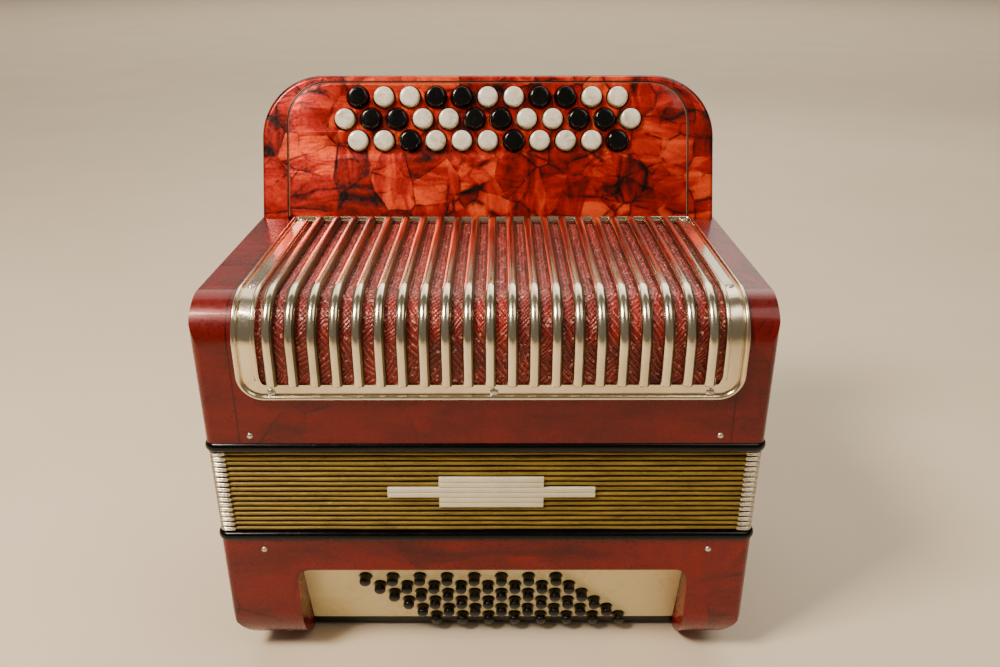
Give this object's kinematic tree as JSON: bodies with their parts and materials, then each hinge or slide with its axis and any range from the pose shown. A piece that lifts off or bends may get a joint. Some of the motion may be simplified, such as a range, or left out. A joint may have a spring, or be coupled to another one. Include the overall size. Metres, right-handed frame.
{
  "type": "button accordion",
  "caption": "Upright three-row button accordion with red pearloid casings, ribbed metal grille, closed gold bellows and sprung treble and bass buttons.",
  "frame": {"origin": "on the resting plane under the middle of the instrument's box", "axes": "+X along the long side, to the right seen from the grille side; -Y the grille side; +Z from the bass end up to the treble end"},
  "size_m": [0.3436, 0.2408, 0.3564],
  "materials": {
    "red_celluloid": "pearloid celluloid over wood, polished",
    "chrome_plate": "nickel plated, polished",
    "steel_rod": "drawn rod",
    "aluminium_plate": "mill finish",
    "grille_cloth": "woven lurex cloth",
    "reed_wood": "bare spruce",
    "black_gasket": "gloss black bead",
    "bellows_tape": "gold cloth tape on card",
    "cream_board": "cream celluloid",
    "black_cover": "black lacquer",
    "strap_leather": "black leather",
    "black_button": "moulded black",
    "black_key": "polished black button on a wooden lever",
    "pearl_key": "mother-of-pearl effect button on a wooden lever"
  },
  "bodies": {
    "bass_side": {"bass_casing": "red_celluloid", "bass_gasket": "black_gasket", "bass_button_board": "cream_board", "bass_end_cover": "black_cover", "bass_reed_block": "reed_wood", "bass_action_comb": "aluminium_plate", "hand_strap": "strap_leather", "bass_screws": "chrome_plate", "bellows": "bellows_tape"},
    "treble_side": {"treble_casing": "red_celluloid", "treble_grille": "chrome_plate", "grille_cloth": "grille_cloth", "fingerboard_body": "red_celluloid", "fingerboard_panel": "red_celluloid", "key_axle": "steel_rod", "soundboard": "reed_wood", "treble_reed_blocks": "reed_wood", "treble_gasket": "black_gasket", "treble_fittings": "chrome_plate"},
    "air_button": {"air_button": "black_button"},
    "bass_buttons_row_1": {"bass_buttons_row_1": "black_button"},
    "bass_buttons_row_2": {"bass_buttons_row_2": "black_button"},
    "bass_buttons_row_3": {"bass_buttons_row_3": "black_button"},
    "bass_buttons_row_4": {"bass_buttons_row_4": "black_button"},
    "bass_buttons_row_5": {"bass_buttons_row_5": "black_button"},
    "bass_buttons_row_6": {"bass_buttons_row_6": "black_button"},
    "treble_key_01": {"treble_key_01": "black_key"},
    "treble_key_02": {"treble_key_02": "pearl_key"},
    "treble_key_03": {"treble_key_03": "pearl_key"},
    "treble_key_04": {"treble_key_04": "black_key"},
    "treble_key_05": {"treble_key_05": "black_key"},
    "treble_key_06": {"treble_key_06": "pearl_key"},
    "treble_key_07": {"treble_key_07": "pearl_key"},
    "treble_key_08": {"treble_key_08": "black_key"},
    "treble_key_09": {"treble_key_09": "black_key"},
    "treble_key_10": {"treble_key_10": "pearl_key"},
    "treble_key_11": {"treble_key_11": "pearl_key"},
    "treble_key_12": {"treble_key_12": "pearl_key"},
    "treble_key_13": {"treble_key_13": "black_key"},
    "treble_key_14": {"treble_key_14": "black_key"},
    "treble_key_15": {"treble_key_15": "pearl_key"},
    "treble_key_16": {"treble_key_16": "pearl_key"},
    "treble_key_17": {"treble_key_17": "black_key"},
    "treble_key_18": {"treble_key_18": "black_key"},
    "treble_key_19": {"treble_key_19": "pearl_key"},
    "treble_key_20": {"treble_key_20": "pearl_key"},
    "treble_key_21": {"treble_key_21": "black_key"},
    "treble_key_22": {"treble_key_22": "black_key"},
    "treble_key_23": {"treble_key_23": "pearl_key"},
    "treble_key_24": {"treble_key_24": "pearl_key"},
    "treble_key_25": {"treble_key_25": "pearl_key"},
    "treble_key_26": {"treble_key_26": "black_key"},
    "treble_key_27": {"treble_key_27": "pearl_key"},
    "treble_key_28": {"treble_key_28": "pearl_key"},
    "treble_key_29": {"treble_key_29": "pearl_key"},
    "treble_key_30": {"treble_key_30": "black_key"},
    "treble_key_31": {"treble_key_31": "pearl_key"},
    "treble_key_32": {"treble_key_32": "pearl_key"},
    "treble_key_33": {"treble_key_33": "pearl_key"},
    "treble_key_34": {"treble_key_34": "black_key"}
  },
  "joints": [
    {"name": "bellows_slide", "type": "slide", "parent": "bass_side", "child": "treble_side", "axis": [0, 0, 1], "range_m": [0, 0.3], "deforming": ["bellows"]},
    {"name": "bass_buttons_row_1_push", "type": "slide", "parent": "bass_side", "child": "bass_buttons_row_1", "axis": [0, 0.9641, 0.2656], "range_m": [0, 0.004], "stiffness_N_per_m": 600, "springref_m": -0.002},
    {"name": "bass_buttons_row_2_push", "type": "slide", "parent": "bass_side", "child": "bass_buttons_row_2", "axis": [0, 0.9641, 0.2656], "range_m": [0, 0.004], "stiffness_N_per_m": 600, "springref_m": -0.002},
    {"name": "bass_buttons_row_3_push", "type": "slide", "parent": "bass_side", "child": "bass_buttons_row_3", "axis": [0, 0.9641, 0.2656], "range_m": [0, 0.004], "stiffness_N_per_m": 600, "springref_m": -0.002},
    {"name": "bass_buttons_row_4_push", "type": "slide", "parent": "bass_side", "child": "bass_buttons_row_4", "axis": [0, 0.9641, 0.2656], "range_m": [0, 0.004], "stiffness_N_per_m": 600, "springref_m": -0.002},
    {"name": "bass_buttons_row_5_push", "type": "slide", "parent": "bass_side", "child": "bass_buttons_row_5", "axis": [0, 0.9641, 0.2656], "range_m": [0, 0.004], "stiffness_N_per_m": 600, "springref_m": -0.002},
    {"name": "bass_buttons_row_6_push", "type": "slide", "parent": "bass_side", "child": "bass_buttons_row_6", "axis": [0, 0.9641, 0.2656], "range_m": [0, 0.004], "stiffness_N_per_m": 600, "springref_m": -0.002},
    {"name": "air_button_push", "type": "slide", "parent": "bass_side", "child": "air_button", "axis": [0, 0, 1], "range_m": [0, 0.0035], "stiffness_N_per_m": 300, "springref_m": -0.003},
    {"name": "treble_key_01_press", "type": "hinge", "parent": "treble_side", "child": "treble_key_01", "pos_m": [0, 0.07167, 0.25838], "axis": [-1, 0, 0], "range_deg": [0, 2.9], "stiffness_Nm_per_rad": 0.8, "springref_deg": -5.73},
    {"name": "treble_key_02_press", "type": "hinge", "parent": "treble_side", "child": "treble_key_02", "pos_m": [0, 0.07167, 0.25838], "axis": [-1, 0, 0], "range_deg": [0, 2.9], "stiffness_Nm_per_rad": 0.8, "springref_deg": -5.73},
    {"name": "treble_key_03_press", "type": "hinge", "parent": "treble_side", "child": "treble_key_03", "pos_m": [0, 0.07167, 0.25838], "axis": [-1, 0, 0], "range_deg": [0, 2.9], "stiffness_Nm_per_rad": 0.8, "springref_deg": -5.73},
    {"name": "treble_key_04_press", "type": "hinge", "parent": "treble_side", "child": "treble_key_04", "pos_m": [0, 0.07167, 0.25838], "axis": [-1, 0, 0], "range_deg": [0, 2.9], "stiffness_Nm_per_rad": 0.8, "springref_deg": -5.73},
    {"name": "treble_key_05_press", "type": "hinge", "parent": "treble_side", "child": "treble_key_05", "pos_m": [0, 0.07167, 0.25838], "axis": [-1, 0, 0], "range_deg": [0, 2.9], "stiffness_Nm_per_rad": 0.8, "springref_deg": -5.73},
    {"name": "treble_key_06_press", "type": "hinge", "parent": "treble_side", "child": "treble_key_06", "pos_m": [0, 0.07167, 0.25838], "axis": [-1, 0, 0], "range_deg": [0, 2.9], "stiffness_Nm_per_rad": 0.8, "springref_deg": -5.73},
    {"name": "treble_key_07_press", "type": "hinge", "parent": "treble_side", "child": "treble_key_07", "pos_m": [0, 0.07167, 0.25838], "axis": [-1, 0, 0], "range_deg": [0, 2.9], "stiffness_Nm_per_rad": 0.8, "springref_deg": -5.73},
    {"name": "treble_key_08_press", "type": "hinge", "parent": "treble_side", "child": "treble_key_08", "pos_m": [0, 0.07167, 0.25838], "axis": [-1, 0, 0], "range_deg": [0, 2.9], "stiffness_Nm_per_rad": 0.8, "springref_deg": -5.73},
    {"name": "treble_key_09_press", "type": "hinge", "parent": "treble_side", "child": "treble_key_09", "pos_m": [0, 0.07167, 0.25838], "axis": [-1, 0, 0], "range_deg": [0, 2.9], "stiffness_Nm_per_rad": 0.8, "springref_deg": -5.73},
    {"name": "treble_key_10_press", "type": "hinge", "parent": "treble_side", "child": "treble_key_10", "pos_m": [0, 0.07167, 0.25838], "axis": [-1, 0, 0], "range_deg": [0, 2.9], "stiffness_Nm_per_rad": 0.8, "springref_deg": -5.73},
    {"name": "treble_key_11_press", "type": "hinge", "parent": "treble_side", "child": "treble_key_11", "pos_m": [0, 0.07167, 0.25838], "axis": [-1, 0, 0], "range_deg": [0, 2.9], "stiffness_Nm_per_rad": 0.8, "springref_deg": -5.73},
    {"name": "treble_key_12_press", "type": "hinge", "parent": "treble_side", "child": "treble_key_12", "pos_m": [0, 0.07167, 0.25838], "axis": [-1, 0, 0], "range_deg": [0, 2.9], "stiffness_Nm_per_rad": 0.8, "springref_deg": -5.73},
    {"name": "treble_key_13_press", "type": "hinge", "parent": "treble_side", "child": "treble_key_13", "pos_m": [0, 0.07167, 0.25838], "axis": [-1, 0, 0], "range_deg": [0, 2.9], "stiffness_Nm_per_rad": 0.8, "springref_deg": -5.73},
    {"name": "treble_key_14_press", "type": "hinge", "parent": "treble_side", "child": "treble_key_14", "pos_m": [0, 0.07167, 0.25838], "axis": [-1, 0, 0], "range_deg": [0, 2.9], "stiffness_Nm_per_rad": 0.8, "springref_deg": -5.73},
    {"name": "treble_key_15_press", "type": "hinge", "parent": "treble_side", "child": "treble_key_15", "pos_m": [0, 0.07167, 0.25838], "axis": [-1, 0, 0], "range_deg": [0, 2.9], "stiffness_Nm_per_rad": 0.8, "springref_deg": -5.73},
    {"name": "treble_key_16_press", "type": "hinge", "parent": "treble_side", "child": "treble_key_16", "pos_m": [0, 0.07167, 0.25838], "axis": [-1, 0, 0], "range_deg": [0, 2.9], "stiffness_Nm_per_rad": 0.8, "springref_deg": -5.73},
    {"name": "treble_key_17_press", "type": "hinge", "parent": "treble_side", "child": "treble_key_17", "pos_m": [0, 0.07167, 0.25838], "axis": [-1, 0, 0], "range_deg": [0, 2.9], "stiffness_Nm_per_rad": 0.8, "springref_deg": -5.73},
    {"name": "treble_key_18_press", "type": "hinge", "parent": "treble_side", "child": "treble_key_18", "pos_m": [0, 0.07167, 0.25838], "axis": [-1, 0, 0], "range_deg": [0, 2.9], "stiffness_Nm_per_rad": 0.8, "springref_deg": -5.73},
    {"name": "treble_key_19_press", "type": "hinge", "parent": "treble_side", "child": "treble_key_19", "pos_m": [0, 0.07167, 0.25838], "axis": [-1, 0, 0], "range_deg": [0, 2.9], "stiffness_Nm_per_rad": 0.8, "springref_deg": -5.73},
    {"name": "treble_key_20_press", "type": "hinge", "parent": "treble_side", "child": "treble_key_20", "pos_m": [0, 0.07167, 0.25838], "axis": [-1, 0, 0], "range_deg": [0, 2.9], "stiffness_Nm_per_rad": 0.8, "springref_deg": -5.73},
    {"name": "treble_key_21_press", "type": "hinge", "parent": "treble_side", "child": "treble_key_21", "pos_m": [0, 0.07167, 0.25838], "axis": [-1, 0, 0], "range_deg": [0, 2.9], "stiffness_Nm_per_rad": 0.8, "springref_deg": -5.73},
    {"name": "treble_key_22_press", "type": "hinge", "parent": "treble_side", "child": "treble_key_22", "pos_m": [0, 0.07167, 0.25838], "axis": [-1, 0, 0], "range_deg": [0, 2.9], "stiffness_Nm_per_rad": 0.8, "springref_deg": -5.73},
    {"name": "treble_key_23_press", "type": "hinge", "parent": "treble_side", "child": "treble_key_23", "pos_m": [0, 0.07167, 0.25838], "axis": [-1, 0, 0], "range_deg": [0, 2.9], "stiffness_Nm_per_rad": 0.8, "springref_deg": -5.73},
    {"name": "treble_key_24_press", "type": "hinge", "parent": "treble_side", "child": "treble_key_24", "pos_m": [0, 0.07167, 0.25838], "axis": [-1, 0, 0], "range_deg": [0, 2.9], "stiffness_Nm_per_rad": 0.8, "springref_deg": -5.73},
    {"name": "treble_key_25_press", "type": "hinge", "parent": "treble_side", "child": "treble_key_25", "pos_m": [0, 0.07167, 0.25838], "axis": [-1, 0, 0], "range_deg": [0, 2.9], "stiffness_Nm_per_rad": 0.8, "springref_deg": -5.73},
    {"name": "treble_key_26_press", "type": "hinge", "parent": "treble_side", "child": "treble_key_26", "pos_m": [0, 0.07167, 0.25838], "axis": [-1, 0, 0], "range_deg": [0, 2.9], "stiffness_Nm_per_rad": 0.8, "springref_deg": -5.73},
    {"name": "treble_key_27_press", "type": "hinge", "parent": "treble_side", "child": "treble_key_27", "pos_m": [0, 0.07167, 0.25838], "axis": [-1, 0, 0], "range_deg": [0, 2.9], "stiffness_Nm_per_rad": 0.8, "springref_deg": -5.73},
    {"name": "treble_key_28_press", "type": "hinge", "parent": "treble_side", "child": "treble_key_28", "pos_m": [0, 0.07167, 0.25838], "axis": [-1, 0, 0], "range_deg": [0, 2.9], "stiffness_Nm_per_rad": 0.8, "springref_deg": -5.73},
    {"name": "treble_key_29_press", "type": "hinge", "parent": "treble_side", "child": "treble_key_29", "pos_m": [0, 0.07167, 0.25838], "axis": [-1, 0, 0], "range_deg": [0, 2.9], "stiffness_Nm_per_rad": 0.8, "springref_deg": -5.73},
    {"name": "treble_key_30_press", "type": "hinge", "parent": "treble_side", "child": "treble_key_30", "pos_m": [0, 0.07167, 0.25838], "axis": [-1, 0, 0], "range_deg": [0, 2.9], "stiffness_Nm_per_rad": 0.8, "springref_deg": -5.73},
    {"name": "treble_key_31_press", "type": "hinge", "parent": "treble_side", "child": "treble_key_31", "pos_m": [0, 0.07167, 0.25838], "axis": [-1, 0, 0], "range_deg": [0, 2.9], "stiffness_Nm_per_rad": 0.8, "springref_deg": -5.73},
    {"name": "treble_key_32_press", "type": "hinge", "parent": "treble_side", "child": "treble_key_32", "pos_m": [0, 0.07167, 0.25838], "axis": [-1, 0, 0], "range_deg": [0, 2.9], "stiffness_Nm_per_rad": 0.8, "springref_deg": -5.73},
    {"name": "treble_key_33_press", "type": "hinge", "parent": "treble_side", "child": "treble_key_33", "pos_m": [0, 0.07167, 0.25838], "axis": [-1, 0, 0], "range_deg": [0, 2.9], "stiffness_Nm_per_rad": 0.8, "springref_deg": -5.73},
    {"name": "treble_key_34_press", "type": "hinge", "parent": "treble_side", "child": "treble_key_34", "pos_m": [0, 0.07167, 0.25838], "axis": [-1, 0, 0], "range_deg": [0, 2.9], "stiffness_Nm_per_rad": 0.8, "springref_deg": -5.73}
  ]
}
